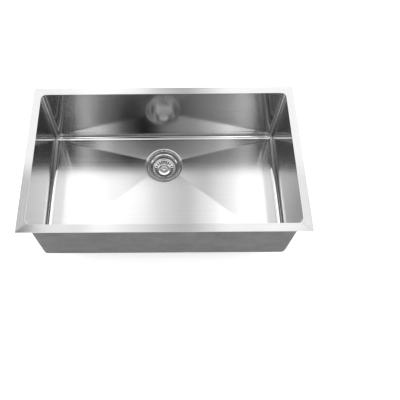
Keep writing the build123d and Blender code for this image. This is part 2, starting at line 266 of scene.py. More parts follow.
def wall_grain(point, along, down):
    """Grain that runs round the piece."""
    return (along, down)


def floor_grain(point, along, down):
    """Grain that runs from left to right."""
    return (point.x, point.y)


def finish_mesh(name, shape, sharp_angle):
    """Piece from a bmesh: touching points merged, faces outwards, smooth but for sharp edges."""
    bmesh.ops.remove_doubles(shape, verts=shape.verts, dist=SAME_POINT)
    bmesh.ops.dissolve_degenerate(shape, edges=shape.edges, dist=NO_SIZE)
    bmesh.ops.recalc_face_normals(shape, faces=shape.faces)
    mesh = bpy.data.meshes.new(name)
    shape.to_mesh(mesh)
    shape.free()
    mesh.shade_smooth()
    mesh.set_sharp_from_angle(angle=radians(sharp_angle))
    piece = bpy.data.objects.new(name, mesh)
    bpy.context.scene.collection.objects.link(piece)
    return piece


def ring_piece(name, rings, grains, sharp_angle=SHARP_FROM):
    """Piece of rings in millimetres, the last joined to the first; grains say how each band is brushed."""
    count = len(rings[0])
    along = [0.0]
    for index in range(count):
        along.append(along[-1] + (rings[0][index] - rings[0][(index + 1) % count]).length)
    down = [0.0]
    for upper, lower in zip(rings, rings[1:] + rings[:1]):
        down.append(down[-1] + max((a - b).length for a, b in zip(upper, lower)))
    shape = bmesh.new()
    grain_map = shape.loops.layers.uv.new("grain")
    grid = [[shape.verts.new(point * MM) for point in ring] for ring in rings]
    for band in range(len(rings)):
        upper, lower = grid[band], grid[(band + 1) % len(rings)]
        for index in range(count):
            after = (index + 1) % count
            face = shape.faces.new((upper[index], lower[index], lower[after], upper[after]))
            places = ((index, band), (index, band + 1), (index + 1, band + 1), (index + 1, band))
            for loop, (station, ring) in zip(face.loops, places):
                point = loop.vert.co / MM
                u, v = grains[band](point, along[station], down[ring])
                loop[grain_map].uv = (u * MM, v * MM)
    return finish_mesh(name, shape, sharp_angle)


def bowl_rings():
    """Inside from the ground edge to the drain hole, then the outside back up to the top."""
    inside = [outline_ring(BOWL_SHEET, 0.0), outline_ring(TOP_EDGE_ROUND + TOP_EDGE_SUPPORT, 0.0)]
    for step in range(TOP_EDGE_STEPS + 1):
        angle = step / TOP_EDGE_STEPS * pi / 2
        inside.append(outline_ring(TOP_EDGE_ROUND * (1 - sin(angle)), TOP_EDGE_ROUND * (cos(angle) - 1)))
    inside += wall_rings(0.0, (-2 * TOP_EDGE_ROUND, *WALL_HEIGHTS))
    walls = len(inside)
    inside += floor_rings(0.0, FLOOR_SHARES)
    outside = wall_rings(BOWL_SHEET, WALL_HEIGHTS) + floor_rings(BOWL_SHEET, UNDERSIDE_SHARES)
    grains = [wall_grain] * (walls - 1) + [floor_grain] * (len(inside) - walls + 1)
    grains += [wall_grain] * len(outside)
    return inside + outside[::-1], grains


def wire(tree, target, inputs):
    """Links a node's inputs to sockets, or sets them to plain values."""
    for name, value in inputs.items():
        if isinstance(value, bpy.types.NodeSocket):
            tree.links.new(value, target.inputs[name])
        else:
            target.inputs[name].default_value = value


def node(tree, kind, inputs, **settings):
    """New node with its settings, then its values and links."""
    made = tree.nodes.new(kind)
    for name, value in settings.items():
        setattr(made, name, value)
    wire(tree, made, inputs)
    return made


def new_finish(name):
    """Empty material with its shader; returns the material, its node tree and the shader."""
    material = bpy.data.materials.new(name)
    material.use_nodes = True
    tree = material.node_tree
    return material, tree, tree.nodes["Principled BSDF"]


def grey(value):
    """Neutral colour."""
    return (value, value, value, 1.0)


def object_place(tree):
    """Place on the piece, in metres."""
    return node(tree, "ShaderNodeTexCoord", {}).outputs["Object"]


def stretched(tree, place, scale):
    """Place with its axes scaled, for a pattern that is drawn out."""
    return node(tree, "ShaderNodeMapping", {"Vector": place, "Scale": scale}).outputs[0]


def noise(tree, place, scale, detail, **more):
    """Cloudy pattern from 0 to 1."""
    inputs = {"Vector": place, "Scale": scale, "Detail": detail, **more}
    return node(tree, "ShaderNodeTexNoise", inputs).outputs[0]


def spread(tree, pattern, low, high, start=0.3, end=0.7):
    """Value from low to high as a pattern goes from start to end."""
    return node(tree, "ShaderNodeMapRange", {
        "Value": pattern, "From Min": start, "From Max": end, "To Min": low, "To Max": high}).outputs[0]


def maths(tree, operation, *values):
    """Number worked out from numbers or patterns."""
    return node(tree, "ShaderNodeMath", dict(enumerate(values)), operation=operation).outputs[0]


def blended(tree, share, first, second):
    """Two patterns mixed by a share."""
    return node(tree, "ShaderNodeMix", {"Factor": share, "A": first, "B": second}).outputs[0]


def shaded(tree, share, first, second):
    """Two colours mixed by a share or a pattern."""
    inputs = {"Factor": share, "A": first, "B": second}
    return node(tree, "ShaderNodeMix", inputs, data_type="RGBA").outputs["Result"]


def raised(tree, height, strength, depth, **more):
    """Surface with a relief; its depth is in metres."""
    inputs = {"Height": height, "Strength": strength, "Distance": depth, **more}
    return node(tree, "ShaderNodeBump", inputs).outputs[0]


GRAIN_LINES = (9.0, 2200.0, 1.0)
GRAIN_STREAKS = (2.0, 170.0, 1.0)
FLOOR_COARSER = 1.45


def brushed_steel(name, tones, roughness, waves, coarseness=None):
    """Satin stainless sheet with fine lines along the grain map's U direction."""
    material, tree, shader = new_finish(name)
    grain = node(tree, "ShaderNodeUVMap", {}, uv_map="grain").outputs["UV"]
    place = object_place(tree)
    lines = noise(tree, stretched(tree, grain, GRAIN_LINES), 1.0, 3.0)
    streaks = noise(tree, stretched(tree, grain, GRAIN_STREAKS), 1.0, 5.0)
    handling = noise(tree, place, 9.0, 6.0, Roughness=0.6)
    buckle = noise(tree, place, 5.0, 1.0)
    rough = spread(tree, blended(tree, 0.35, streaks, handling), *roughness)
    if coarseness:
        rough = maths(tree, "MULTIPLY", rough, coarseness(tree, place))
    ground = raised(tree, lines, 0.04, 0.0003)
    along_grain = node(tree, "ShaderNodeTangent", {}, direction_type="UV_MAP", uv_map="grain")
    wire(tree, shader, {
        "Base Color": shaded(tree, streaks, grey(tones[0]), grey(tones[1])),
        "Roughness": rough,
        "Normal": raised(tree, buckle, waves, 0.002, Normal=ground),
        "Tangent": along_grain.outputs[0],
        "Metallic": 1.0, "Anisotropic": 1.0, "Anisotropic Rotation": 0.25})
    return material


def bowl_coarseness(tree, place):
    """Coarseness of the brushing over the bowl: more on the floor from the drain to the front."""
    axes = node(tree, "ShaderNodeSeparateXYZ", {0: place}).outputs
    floor = spread(tree, axes["Z"], 0.0, 1.0, (BOWL_RADIUS - BOWL_DEPTH) * MM, -BOWL_DEPTH * MM)
    front = spread(tree, axes["Y"], 0.0, 1.0, (DRAIN.y + SEAT_RADIUS) * MM, DRAIN.y * MM)
    return spread(tree, maths(tree, "MULTIPLY", floor, front), 1.0, FLOOR_COARSER, 0.0, 1.0)


def dress(piece, finish, body, slot, *nodes):
    """Gives a piece its finish and the body that it rides on, and hides the CAD nodes it stands for. The
    slot is not used.
    """
    piece.data.materials.clear()
    piece.data.materials.append(finish)
    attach(piece, body)
    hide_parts(*nodes)


bowl = ring_piece("bowl_pressing", *bowl_rings(), SHEET_SHARP_FROM)
bowl_finish = brushed_steel("brushed_bowl_steel", (0.54, 0.60), (0.073, 0.093), 0.04, bowl_coarseness)
dress(bowl, bowl_finish, "sink", "brushed_sheet", "bowl")


# Rim: a flat frame of 1.5 mm stainless sheet with square mitred corners, welded flush round the top
# of the bowl. It lies under the worktop. Each side is brushed along its own length, and the sheared
# outer edge is broken with a small bevel.
RIM_WIDTH = 24.0
RIM_SHEET = 1.5
RIM_CORNER = 2.0
RIM_BEVEL = 0.35
BEVEL_MIDDLE_SHARE = 0.3
RIM_SUPPORT = 1.0
bevel_middle = RIM_BEVEL * BEVEL_MIDDLE_SHARE


def rim_point(station, inset, z):
    """Point near the rim's square outer edge, moved in from it."""
    reach = Vector((BOWL_WIDTH / 2 + RIM_WIDTH - RIM_CORNER, BOWL_LENGTH / 2 + RIM_WIDTH - RIM_CORNER))
    if station.corner.x and station.corner.y:
        plan = box_corner(reach, station.corner) + station.out * (RIM_CORNER - inset)
    else:
        plan = station.anchor + station.out * (RIM_WIDTH + BOWL_RADIUS - inset)
    return Vector((plan.x, plan.y, z))


def rim_ring(inset, z):
    """Ring of points all round the rim's outer edge."""
    return [rim_point(station, inset, z) for station in stations]


rim_rings = [
    outline_ring(BOWL_SHEET, -RIM_SHEET),
    outline_ring(BOWL_SHEET, 0.0),
    outline_ring(BOWL_SHEET + RIM_SUPPORT, 0.0),
    rim_ring(RIM_SUPPORT, 0.0),
    rim_ring(RIM_BEVEL, 0.0),
    rim_ring(bevel_middle, -bevel_middle),
    rim_ring(0.0, -RIM_BEVEL),
    rim_ring(0.0, -RIM_SHEET + RIM_BEVEL),
    rim_ring(RIM_BEVEL, -RIM_SHEET),
    rim_ring(RIM_SUPPORT, -RIM_SHEET),
]
rim = ring_piece("rim_frame_ground", rim_rings, [wall_grain] * len(rim_rings))
rim_finish = brushed_steel("ground_rim_steel", (0.455, 0.505), (0.113, 0.154), 0.03)
dress(rim, rim_finish, "sink", "brushed_sheet", "rim_frame")


# Coat: a grey mineral coat, sprayed on the outside of the bowl to deaden noise and stop dripping
# condensation. It stops short of the rim and of the drain, and its surface is fine and pebbly.
COAT_THICKNESS = 0.8
COAT_TOP = -4.5
COAT_MARGIN = 6.0
COAT_SHARES = (0.0, 0.01, 0.3, 0.6, 0.97, 1.0)
COAT_BACK_SHARES = (0.0, 0.3, 0.6, 1.0)
coat_hole = SEAT_RADIUS + (FLOOR_DROP + RECESS_DEPTH) / tan(RECESS_SLOPE) + COAT_MARGIN

# The coat's top edge is rounded: each pair is how far in and how far down a ring lies
COAT_LIP = ((0.5, 0.0), (0.15, 0.2), (0.0, 0.7))


def coat_floor_ring(grown, share):
    """Ring over the coat's floor, from the bend to the hole round the drain."""
    ring = []
    for station in stations:
        (start, end), _ = floor_line(station, grown, coat_hole)
        ring.append(start.lerp(end, share))
    return ring


def coat_rings():
    """Sprayed face from its rounded top edge to the drain, then the face against the steel back up."""
    outer = BOWL_SHEET + COAT_THICKNESS
    sprayed = [outline_ring(outer - inset, COAT_TOP - drop) for inset, drop in COAT_LIP]
    sprayed += wall_rings(outer, WALL_HEIGHTS)
    sprayed += [coat_floor_ring(outer, share) for share in COAT_SHARES]
    against = wall_rings(BOWL_SHEET, (COAT_TOP, WALL_HEIGHTS[1]))
    against += [coat_floor_ring(BOWL_SHEET, share) for share in COAT_BACK_SHARES]
    return sprayed + against[::-1]


def cells(tree, place, scale, feature="F1"):
    """Pattern of small cells, from 0 at their middles."""
    inputs = {"Vector": place, "Scale": scale}
    return node(tree, "ShaderNodeTexVoronoi", inputs, feature=feature).outputs["Distance"]


def two_shades(tree, pattern, *stops):
    """Colour from dark to pale over a pattern; each stop is a place from 0 to 1 and a colour."""
    shades = node(tree, "ShaderNodeValToRGB", {"Fac": pattern})
    for element, (place, colour) in zip(shades.color_ramp.elements, stops):
        element.position = place
        element.color = colour
    return shades.outputs[0]


def sprayed_coat(name):
    """Matt grey sprayed coat: fine pebbles, drifts of heavier spray and paler overspray."""
    material, tree, shader = new_finish(name)
    place = object_place(tree)
    pebbles = cells(tree, place, 420.0, "SMOOTH_F1")
    grit = noise(tree, place, 900.0, 4.0)
    drifts = noise(tree, place, 16.0, 7.0, Roughness=0.62)
    blotches = noise(tree, place, 60.0, 5.0, Roughness=0.7)
    mottle = blended(tree, 0.5, drifts, blotches)
    wire(tree, shader, {
        "Base Color": two_shades(tree, mottle, (0.36, grey(0.135)), (0.64, grey(0.22))),
        "Roughness": spread(tree, blotches, 0.62, 0.85),
        "Normal": raised(tree, blended(tree, 0.4, pebbles, grit), 0.55, 0.0008),
        "Specular IOR Level": 0.35})
    return material


coat_skin = coat_rings()
coat = ring_piece("sound_coat_sprayed", coat_skin, [wall_grain] * len(coat_skin), SHEET_SHARP_FROM)
dress(coat, sprayed_coat("sprayed_grey_coat"), "sink", "coat", "sound_coat")


# Sound pads: three slabs of heavy black rubber, stuck to the coat under the floor's front and side
# panels to deaden the drumming of water. They are cut with rounded corners, and their edges are soft.
PAD_EDGE = 0.9
NEARLY_FLAT = 1.0
SHARP_EDGE = 40.0


def softened_copy(node_name, piece_name, edge):
    """Copy of a CAD piece, merged to one skin, with its sharp edges rounded off."""
    shape = bmesh.new()
    shape.from_mesh(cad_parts[node_name].data)
    bmesh.ops.remove_doubles(shape, verts=shape.verts, dist=SAME_POINT)
    bmesh.ops.dissolve_limit(
        shape, angle_limit=radians(NEARLY_FLAT), verts=shape.verts, edges=shape.edges)
    sharp = [line for line in shape.edges if line.calc_face_angle(0.0) > radians(SHARP_EDGE)]
    bmesh.ops.bevel(shape, geom=sharp, offset=edge * MM, segments=3, profile=0.5, affect="EDGES",
                    clamp_overlap=True)
    return finish_mesh(piece_name, shape, SHARP_EDGE)


def rubber(name, shades, grain_size):
    """Matt rubber with a moulded grain, paler where talc and dust cling to it."""
    material, tree, shader = new_finish(name)
    place = object_place(tree)
    grain = noise(tree, place, 1 / (grain_size * MM), 4.0)
    dust = noise(tree, place, 26.0, 7.0, Roughness=0.65)
    dusty = spread(tree, dust, 0.0, 1.0, 0.4, 0.72)
    wire(tree, shader, {
        "Base Color": shaded(tree, dusty, grey(shades[0]), grey(shades[1])),
        "Roughness": spread(tree, dust, 0.5, 0.78),
        "Normal": raised(tree, grain, 0.35, 0.0003),
        "Specular IOR Level": 0.4})
    return material


pad_rubber = rubber("heavy_pad_rubber", (0.018, 0.05), 1.6)
for side in ("front", "left", "right"):
    pad = softened_copy(f"sound_pad_{side}", f"sound_pad_{side}_slab", PAD_EDGE)
    dress(pad, pad_rubber, "sink", "pad", f"sound_pad_{side}")


# Strainer body: a flanged, stepped cup, pressed from stainless sheet and spun bright in a lathe. Its
# ledge carries the basket. A ridged thread is rolled into the cup's outside and into the outlet below
# it, and a cross in the outlet holds back what the basket lets through.
CUP_OUTSIDE = 43.4
OUTLET_OUTSIDE = 24.0
CUP_THREAD_FROM, CUP_THREAD_TO = -18.4, -14.9
OUTLET_THREAD_FROM, OUTLET_THREAD_TO = -62.4, -55.2
THREAD_PITCH = 1.8
RIDGE = 0.45
RIDGE_POINTS = 72
RIDGE_SIDES = 8
ROUNDED_FROM = 45.0

# The lathe's rings are spaced by the radius and, on upright walls, by a share of the height
HEIGHT_SHARE = 0.6


def spun_steel(name, tones, roughness, rings):
    """Bright steel, spun in a lathe: faint rings round the drain's axis and a few smears."""
    material, tree, shader = new_finish(name)
    place = object_place(tree)
    axis = (DRAIN.x * MM, DRAIN.y * MM, 0.0)
    flat = (1.0, 1.0, 0.0)
    from_axis = node(tree, "ShaderNodeVectorMath", {0: place, 1: axis}, operation="SUBTRACT").outputs[0]
    in_plan = node(tree, "ShaderNodeVectorMath", {0: from_axis, 1: flat}, operation="MULTIPLY").outputs[0]
    radius = node(tree, "ShaderNodeVectorMath", {0: in_plan}, operation="LENGTH").outputs["Value"]
    height = node(tree, "ShaderNodeSeparateXYZ", {0: from_axis}).outputs["Z"]
    along = maths(tree, "MULTIPLY_ADD", height, HEIGHT_SHARE, radius)
    turning = node(tree, "ShaderNodeTexNoise", {"W": along, "Scale": 1500.0, "Detail": 3.0},
                   noise_dimensions="1D").outputs[0]
    smears = noise(tree, place, 55.0, 6.0, Roughness=0.6)
    wire(tree, shader, {
        "Base Color": shaded(tree, smears, grey(tones[0]), grey(tones[1])),
        "Roughness": spread(tree, blended(tree, 0.5, turning, smears), *roughness),
        "Normal": raised(tree, turning, rings, 0.0002),
        "Metallic": 1.0})
    return material


def node_inputs(tree, **kinds):
    """Named inputs of a Geometry Nodes tree, each with its kind of socket; returns inputs and output."""
    tree.interface.new_socket("Geometry", in_out="INPUT", socket_type="NodeSocketGeometry")
    for name, kind in kinds.items():
        tree.interface.new_socket(name, in_out="INPUT", socket_type=f"NodeSocket{kind}")
    tree.interface.new_socket("Geometry", in_out="OUTPUT", socket_type="NodeSocketGeometry")
    return tree.nodes.new("NodeGroupInput").outputs, tree.nodes.new("NodeGroupOutput").inputs


def end_tree(tree, shape, finish, made):
    """Ends a Geometry Nodes tree: the shape is given its finish and goes out."""
    finished = node(tree, "GeometryNodeSetMaterial", {"Geometry": shape, "Material": finish})
    tree.links.new(finished.outputs[0], made[0])


def thread_tree():
    """Tree that winds a round ridge up a cylinder, as a thread rolled into sheet looks."""
    tree = bpy.data.node_groups.new("rolled_thread", "GeometryNodeTree")
    given, made = node_inputs(
        tree, Radius="Float", Turns="Float", Rise="Float", Ridge="Float", Bottom="Vector",
        Finish="Material")
    spiral = node(tree, "GeometryNodeCurveSpiral", {
        "Resolution": RIDGE_POINTS, "Rotations": given["Turns"], "Start Radius": given["Radius"],
        "End Radius": given["Radius"], "Height": given["Rise"]})
    section = node(tree, "GeometryNodeCurvePrimitiveCircle", {
        "Resolution": RIDGE_SIDES, "Radius": given["Ridge"]})
    ridge = node(tree, "GeometryNodeCurveToMesh", {
        "Curve": spiral.outputs[0], "Profile Curve": section.outputs[0], "Fill Caps": True})
    placed = node(tree, "GeometryNodeSetPosition", {
        "Geometry": ridge.outputs[0], "Offset": given["Bottom"]})
    real = node(tree, "GeometryNodeRealizeInstances", {"Geometry": placed.outputs[0]})
    end_tree(tree, real.outputs[0], given["Finish"], made)
    return tree


def grown_piece(name, start, tree, values, thickness=0.0, edge=0.0):
    """Plain mesh from a node tree with its inputs by name, then given a thickness and rounded edges."""
    piece = bpy.data.objects.new(name, start)
    bpy.context.scene.collection.objects.link(piece)
    growth = piece.modifiers.new("growth", "NODES")
    growth.node_group = tree
    for item in tree.interface.items_tree:
        if item.name in values:
            growth[item.identifier] = values[item.name]
    if thickness:
        wall = piece.modifiers.new("wall", "SOLIDIFY")
        wall.thickness = thickness * MM
        wall.offset = -1.0
        wall.use_even_offset = True
    if edge:
        rounding = piece.modifiers.new("rounding", "BEVEL")
        rounding.width = edge * MM
        rounding.segments = 2
        rounding.limit_method = "ANGLE"
        rounding.angle_limit = radians(ROUNDED_FROM)
    plain = bpy.data.meshes.new_from_object(piece.evaluated_get(bpy.context.evaluated_depsgraph_get()))
    piece.modifiers.clear()
    piece.data = plain
    plain.name = name
    plain.shade_smooth()
    plain.set_sharp_from_angle(angle=radians(SHARP_FROM))
    return piece


# The body's steel has a darker tone than the bowl's steel. This is painted shade for the inside of the cup
# under the basket.
shade_darkened_body_steel = spun_steel("spun_strainer_steel_shade_darkened", (0.44, 0.52), (0.10, 0.17), 0.05)
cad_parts["strainer_body"].material_slots[0].material = shade_darkened_body_steel

thread_rule = thread_tree()
for name, radius, low, high in (
        ("cup_thread", CUP_OUTSIDE, CUP_THREAD_FROM, CUP_THREAD_TO),
        ("outlet_thread", OUTLET_OUTSIDE, OUTLET_THREAD_FROM, OUTLET_THREAD_TO)):
    thread = grown_piece(name, bpy.data.meshes.new(name), thread_rule, {
        "Radius": radius * MM, "Turns": (high - low) / THREAD_PITCH, "Rise": (high - low) * MM,
        "Ridge": RIDGE * MM, "Bottom": Vector((*DRAIN, seat_z + low)) * MM, "Finish": shade_darkened_body_steel})
    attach(thread, "sink")


# Seals and washers: a bead of sealing rubber under the flange, a thick rubber washer and a brown fibre
# ring under the sink, and a rubber washer on the end of the outlet. All are cut or moulded flat rings.
TURN_STEPS = 112
FlatRing = namedtuple("FlatRing", "inner outer bottom top edge")
WASHER = FlatRing(inner=43.9, outer=54.9, bottom=-4.2, top=-1.2, edge=0.6)
FRICTION_RING = FlatRing(inner=43.9, outer=54.9, bottom=-5.2, top=-4.2, edge=0.15)
OUTLET_WASHER = FlatRing(inner=20.0, outer=24.0, bottom=-76.0, top=-74.0, edge=0.4)


def rounded_line(corners):
    """Line through corners (radius, height), eased round each one that has a rounding as third value."""
    points = []
    for index, (radius, height, *rounding) in enumerate(corners):
        here = Vector((radius, height))
        if rounding:
            back = (Vector(corners[index - 1][:2]) - here).normalized()
            onward = (Vector(corners[(index + 1) % len(corners)][:2]) - here).normalized()
            reach = rounding[0] / tan(back.angle(onward) / 2)
            points += eased(here + back * reach, here, here + onward * reach)
        else:
            points.append(here)
    return points


def turned_piece(name, *corners):
    """Piece turned about the drain's axis from corners (radius, height above the seat, rounding)."""
    rings = []
    for radius, height in rounded_line(corners):
        ring = []
        for step in range(TURN_STEPS):
            angle = step / TURN_STEPS * 2 * pi
            x = DRAIN.x + radius * cos(angle)
            y = DRAIN.y + radius * sin(angle)
            ring.append(Vector((x, y, seat_z + height)))
        rings.append(ring)
    return ring_piece(name, rings, [wall_grain] * len(rings))


def flat_ring(name, ring):
    """Flat ring with softened edges."""
    inner, outer, bottom, top, edge = ring
    return turned_piece(
        name, (inner, bottom, edge), (outer, bottom, edge), (outer, top, edge), (inner, top, edge))


def pressed_fibre(name):
    """Brown pressed fibre board: short lying fibres, flecks and a dry, fuzzy surface."""
    material, tree, shader = new_finish(name)
    place = object_place(tree)
    fibres = noise(tree, stretched(tree, place, (1.0, 4.0, 9.0)), 420.0, 5.0, Distortion=1.5)
    flecks = cells(tree, place, 700.0)
    dark_brown, pale_brown = (0.2, 0.11, 0.05, 1.0), (0.42, 0.27, 0.14, 1.0)
    wire(tree, shader, {
        "Base Color": two_shades(tree, fibres, (0.3, dark_brown), (0.7, pale_brown)),
        "Roughness": spread(tree, flecks, 0.7, 0.92, 0.0, 0.8),
        "Normal": raised(tree, fibres, 0.4, 0.0003)})
    return material


seal_rubber = rubber("black_seal_rubber", (0.022, 0.06), 0.5)
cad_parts["flange_seal"].material_slots[0].material = seal_rubber
washer = flat_ring("rubber_washer_thick", WASHER)
dress(washer, seal_rubber, "sink", "seal", "rubber_washer")
friction = flat_ring("friction_ring_pressed", FRICTION_RING)
dress(friction, pressed_fibre("brown_pressed_fibre"), "sink", "fibre", "friction_ring")
end_washer = flat_ring("outlet_washer_moulded", OUTLET_WASHER)
dress(end_washer, seal_rubber, "sink", "seal", "outlet_washer")


# Nuts: a lugged ring nut that clamps the strainer to the sink, and a hexagon nut that takes the waste
# pipe. Both are zinc castings with softened edges and a dull, cloudy plating.
NUT_EDGE = 0.7


def cast_metal(name):
    """Plated zinc casting: shallow pits, cloudy dull patches and a fine sandy grain."""
    material, tree, shader = new_finish(name)
    place = object_place(tree)
    grain = noise(tree, place, 800.0, 4.0)
    pits = cells(tree, place, 260.0, "SMOOTH_F1")
    clouds = noise(tree, place, 45.0, 6.0, Roughness=0.65)
    wire(tree, shader, {
        "Base Color": shaded(tree, clouds, grey(0.36), grey(0.58)),
        "Roughness": spread(tree, clouds, 0.3, 0.5),
        "Normal": raised(tree, blended(tree, 0.5, grain, pits), 0.25, 0.0004),
        "Metallic": 1.0})
    return material


nut_metal = cast_metal("plated_nut_casting")
for name in ("lock_nut", "coupling_nut"):
    dress(softened_copy(name, f"{name}_cast", NUT_EDGE), nut_metal, "sink", "nut_metal", name)


# Basket: a cup pressed from thin stainless sheet that lifts out of the strainer. Its rim lies on the
# ledge, a ring of radial slots is punched in its cone, and its middle rises to a shallow crown.
BASKET_SHEET = 0.8
BASKET_ROUND = 1.2
BASKET_EDGE = 0.22
LIP_TOP = -17.3
BASKET_RIM_RADIUS, BASKET_RIM_TOP = 39.6, -18.9
CONE_TOP_RADIUS = 33.4
CONE_FOOT_RADIUS, CONE_FOOT = 22.4, -24.6
CROWN_RADIUS, GROOVE_FLOOR, GROOVE_ROUND = 21.0, -28.0, 1.0
CROWN_SHOULDER, CROWN_TOP, CROWN_ROUND = 15.0, -26.2, 3.0
BUSH_HOLE = 5.28
SLOT_COUNT = 21
SLOT_START, SLOT_END, SLOT_WIDTH = 23.6, 32.2, 4.2
FIRST_SLOT = pi / 2
ARC_STEPS = 8
SIDE_STEPS = 4
SLOT_SUPPORT_SHARE = 0.4


def arc_row(radius, height, half_turn):
    """Row of points across one sector, about the drain's axis."""
    row = []
    for step in range(ARC_STEPS + 1):
        angle = half_turn * (2 * step / ARC_STEPS - 1)
        row.append(Vector((radius * cos(angle), radius * sin(angle), height)))
    return row


def sector_side(upper, lower, turn):
    """Points down one side of a sector, between two rows."""
    side = []
    for step in range(1, SIDE_STEPS):
        radius, height = upper.lerp(lower, step / SIDE_STEPS)
        side.append(Vector((radius * cos(turn), radius * sin(turn), height)))
    return side


def slot_loop():
    """Outline of one slot in plan, from its outer end round to its inner end and back."""
    half = SLOT_WIDTH / 2
    outer, inner = SLOT_END - half, SLOT_START + half
    loop = []
    for middle, first in ((outer, -pi / 2), (inner, pi / 2)):
        for step in range(ARC_STEPS + 1):
            angle = first + pi * step / ARC_STEPS
            loop.append(Vector((middle + half * cos(angle), half * sin(angle))))
        far = inner if middle == outer else outer
        for step in range(1, SIDE_STEPS):
            loop.append(Vector((middle + (far - middle) * step / SIDE_STEPS, loop[-1].y)))
    return loop


def add_band(shape, first, second, closed):
    """Adds the faces between two rows or two closed loops of points."""
    for step in range(len(first) if closed else len(first) - 1):
        onward = (step + 1) % len(first)
        corners = (first[step], second[step], second[onward], first[onward])
        shape.faces.new([shape.verts.new(point * MM) for point in corners])


def slotted_sector():
    """One slot of the basket with half a rib on each side, from the rim's lip to the hole in the crown."""
    half_turn = pi / SLOT_COUNT
    line = rounded_line((
        (BASKET_RIM_RADIUS, LIP_TOP), (BASKET_RIM_RADIUS, BASKET_RIM_TOP, BASKET_ROUND),
        (CONE_TOP_RADIUS, BASKET_RIM_TOP, BASKET_ROUND), (CONE_FOOT_RADIUS, CONE_FOOT, BASKET_ROUND),
        (CROWN_RADIUS, GROOVE_FLOOR, GROOVE_ROUND), (CROWN_SHOULDER, CROWN_TOP, CROWN_ROUND),
        (BUSH_HOLE, CROWN_TOP)))
    rows = [arc_row(radius, height, half_turn) for radius, height in line]
    above = max(index for index, point in enumerate(line) if point.x > SLOT_END)
    upper, lower = line[above], line[above + 1]

    def on_cone(plan):
        """Point of the cone over a place in plan."""
        share = (upper.x - hypot(plan.x, plan.y)) / (upper.x - lower.x)
        return Vector((plan.x, plan.y, upper.y + (lower.y - upper.y) * share))

    left, right = [sector_side(upper, lower, turn) for turn in (half_turn, -half_turn)]
    border = rows[above] + left + rows[above + 1][::-1] + right[::-1]
    slot = [on_cone(plan) for plan in slot_loop()]
    between = [on_cone(edge.lerp(rib, SLOT_SUPPORT_SHARE)) for edge, rib in zip(slot, border)]
    shape = bmesh.new()
    for index, (row, after) in enumerate(zip(rows, rows[1:])):
        if index != above:
            add_band(shape, row, after, closed=False)
    add_band(shape, border, between, closed=True)
    add_band(shape, between, slot, closed=True)
    bmesh.ops.remove_doubles(shape, verts=shape.verts, dist=NO_SIZE)
    mesh = bpy.data.meshes.new("slotted_sector")
    shape.to_mesh(mesh)
    shape.free()
    return mesh


def round_drain_tree():
    """Tree that repeats a sector evenly about the drain's axis and joins the copies to one skin."""
    tree = bpy.data.node_groups.new("repeat_round_drain", "GeometryNodeTree")
    given, made = node_inputs(tree, Count="Int", Middle="Vector", Finish="Material")
    points = node(tree, "GeometryNodePoints", {"Count": given["Count"], "Position": given["Middle"]})
    index = node(tree, "GeometryNodeInputIndex", {})
    share = maths(tree, "DIVIDE", index.outputs[0], given["Count"])
    angle = maths(tree, "MULTIPLY_ADD", share, 2 * pi, FIRST_SLOT)
    turn = node(tree, "FunctionNodeAxisAngleToRotation", {"Axis": (0.0, 0.0, 1.0), "Angle": angle})
    copies = node(tree, "GeometryNodeInstanceOnPoints", {
        "Points": points.outputs[0], "Instance": given["Geometry"], "Rotation": turn.outputs[0]})
    real = node(tree, "GeometryNodeRealizeInstances", {"Geometry": copies.outputs[0]})
    joined = node(tree, "GeometryNodeMergeByDistance", {
        "Geometry": real.outputs[0], "Distance": 2 * SAME_POINT})
    end_tree(tree, joined.outputs[0], given["Finish"], made)
    return tree


basket_steel = spun_steel("pressed_basket_steel", (0.72, 0.80), (0.20, 0.30), 0.03)
basket = grown_piece("basket_slotted", slotted_sector(), round_drain_tree(), {
    "Count": SLOT_COUNT, "Middle": Vector((*DRAIN, seat_z)) * MM, "Finish": basket_steel},
    thickness=BASKET_SHEET, edge=BASKET_EDGE)
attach(basket, "basket")
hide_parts("basket_cup")


# Guide bush: a flanged bush of pale moulded plastic, pushed through the basket's crown and held below
# it by a flat steel clip. A rubber ring in a groove of its bore grips the stem.
BUSH_BORE, BUSH_RADIUS, BUSH_FLANGE = 3.06, 5.2, 7.5
BUSH_TOP, BUSH_BOTTOM = -25.0, -36.5
BUSH_MOUTH_ROUND, BUSH_FLANGE_ROUND, BUSH_FOOT_ROUND, BUSH_EXIT_ROUND = 0.3, 0.6, 0.4, 0.2
BUSH_GROOVE_RADIUS, BUSH_GROOVE_TOP, BUSH_GROOVE_BOTTOM = 4.22, -30.14, -31.36
CLIP = FlatRing(inner=5.28, outer=8.08, bottom=-27.8, top=-27.0, edge=0.15)


def moulded_plastic(name):
    """Off-white moulded plastic: faintly cloudy, satin, with fine scuffs."""
    material, tree, shader = new_finish(name)
    place = object_place(tree)
    clouds = noise(tree, place, 160.0, 5.0)
    scuffs = noise(tree, place, 900.0, 3.0)
    dull_white, clear_white = (0.60, 0.60, 0.57, 1.0), (0.72, 0.72, 0.70, 1.0)
    wire(tree, shader, {
        "Base Color": shaded(tree, clouds, dull_white, clear_white),
        "Roughness": spread(tree, clouds, 0.32, 0.48),
        "Normal": raised(tree, scuffs, 0.12, 0.0002)})
    return material


